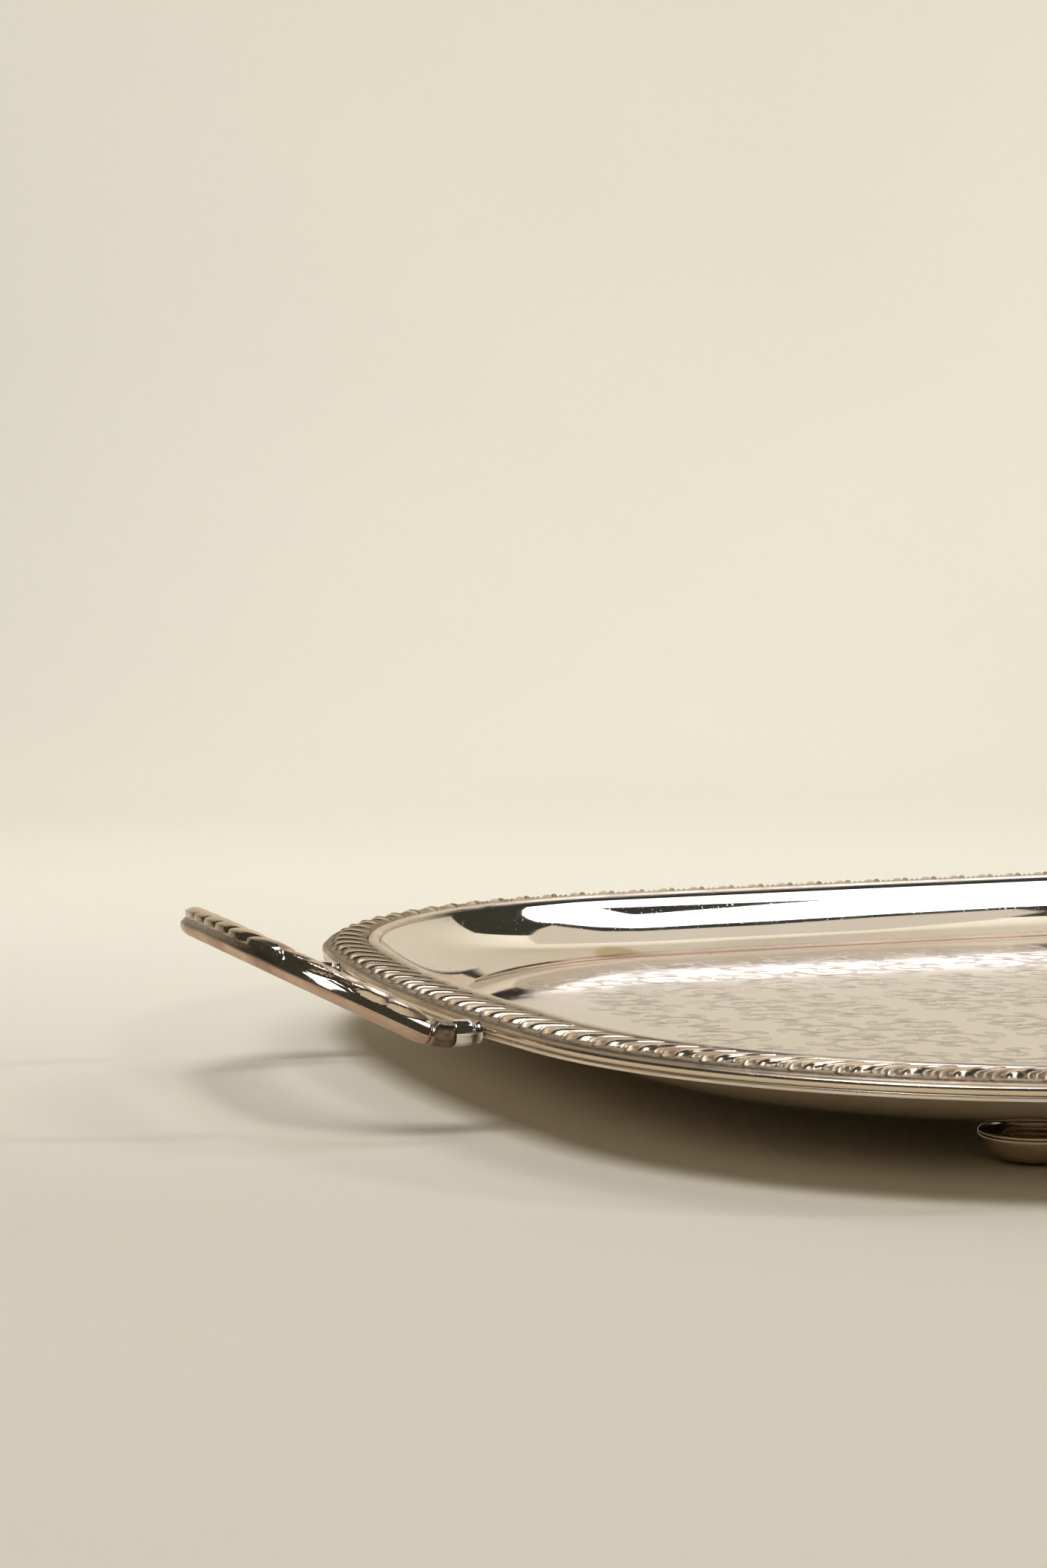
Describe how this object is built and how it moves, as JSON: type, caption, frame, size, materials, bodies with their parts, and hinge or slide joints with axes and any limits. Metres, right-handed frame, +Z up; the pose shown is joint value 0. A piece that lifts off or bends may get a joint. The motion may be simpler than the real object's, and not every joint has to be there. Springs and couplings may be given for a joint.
{
  "type": "serving tray",
  "caption": "Oblong silver-plated serving tray with a lobed border, a raised bead, a sunken flat base, tilted loop handles on turned terminals and hollow bun feet.",
  "frame": {"origin": "on the table under the middle of the tray", "axes": "+X along the tray's length through both handles, +Y across it towards the back, +Z up"},
  "size_m": [0.6752, 0.3836, 0.0441],
  "materials": {
    "body_silver": "polished silver plate, chased on the base",
    "border_silver": "cast silver plate, worn warm on the raised parts and dark in the hollows",
    "handle_silver": "cast silver plate, worn to copper on the underside",
    "terminal_silver": "turned and polished silver plate",
    "foot_silver": "spun silver plate, a little tarnished"
  },
  "bodies": {
    "root": {"tray_body": "body_silver", "border_end_right": "border_silver", "border_corner_back_right": "border_silver", "border_side_back": "border_silver", "border_corner_back_left": "border_silver", "border_end_left": "border_silver", "border_corner_front_left": "border_silver", "border_side_front": "border_silver", "border_corner_front_right": "border_silver", "handle_right": "handle_silver", "handle_left": "handle_silver", "terminal_right_front": "terminal_silver", "terminal_right_back": "terminal_silver", "terminal_left_front": "terminal_silver", "terminal_left_back": "terminal_silver", "foot_collar_front_right": "foot_silver", "foot_collar_front_left": "foot_silver", "foot_collar_back_right": "foot_silver", "foot_collar_back_left": "foot_silver", "foot_upper_front_right": "foot_silver", "foot_upper_front_left": "foot_silver", "foot_upper_back_right": "foot_silver", "foot_upper_back_left": "foot_silver", "foot_lower_front_right": "foot_silver", "foot_lower_front_left": "foot_silver", "foot_lower_back_right": "foot_silver", "foot_lower_back_left": "foot_silver"}
  },
  "joints": []
}
